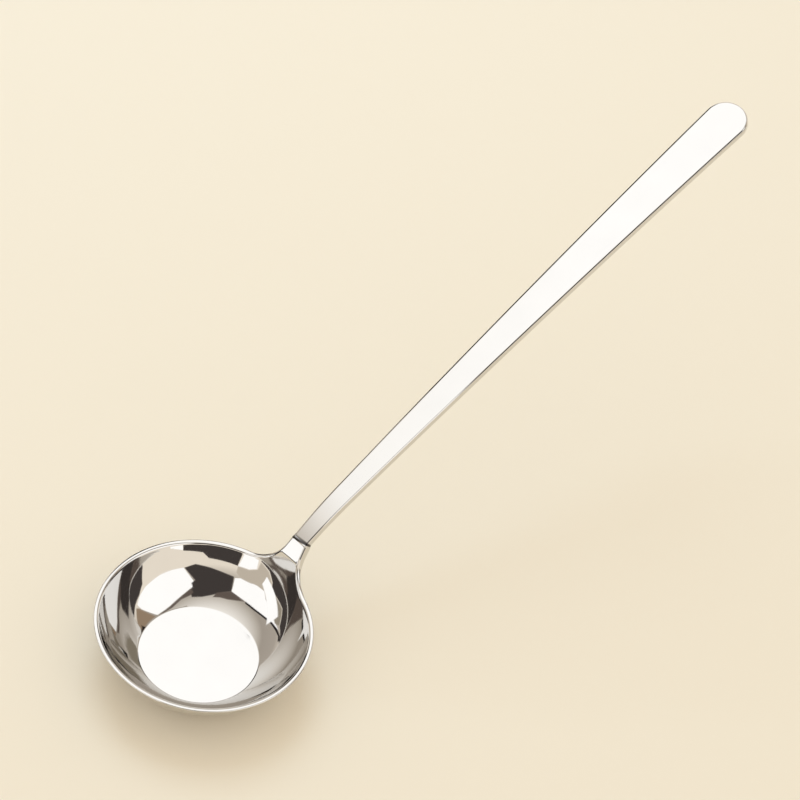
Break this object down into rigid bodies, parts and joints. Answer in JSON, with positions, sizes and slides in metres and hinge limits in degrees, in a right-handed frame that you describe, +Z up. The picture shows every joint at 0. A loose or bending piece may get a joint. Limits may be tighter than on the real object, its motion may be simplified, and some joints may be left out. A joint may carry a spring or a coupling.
{
  "type": "soup spoon",
  "caption": "Soup spoon with a round, shallow, flat-floored bowl, a flared neck and a long flat handle that widens to a rounded tip, in mirror-polished steel.",
  "frame": {"origin": "centre of the bowl's flat underside", "axes": "+Z up along the bowl's axis, +X toward the handle, XZ the plane of symmetry"},
  "size_m": [0.2127, 0.0558, 0.0972],
  "materials": {
    "polished_steel": "mirror-polished stainless steel",
    "dressed_weld": "stainless steel weld, ground flush and polished"
  },
  "bodies": {
    "root": {"bowl": "polished_steel", "neck_weld": "dressed_weld", "handle": "polished_steel"}
  },
  "joints": []
}
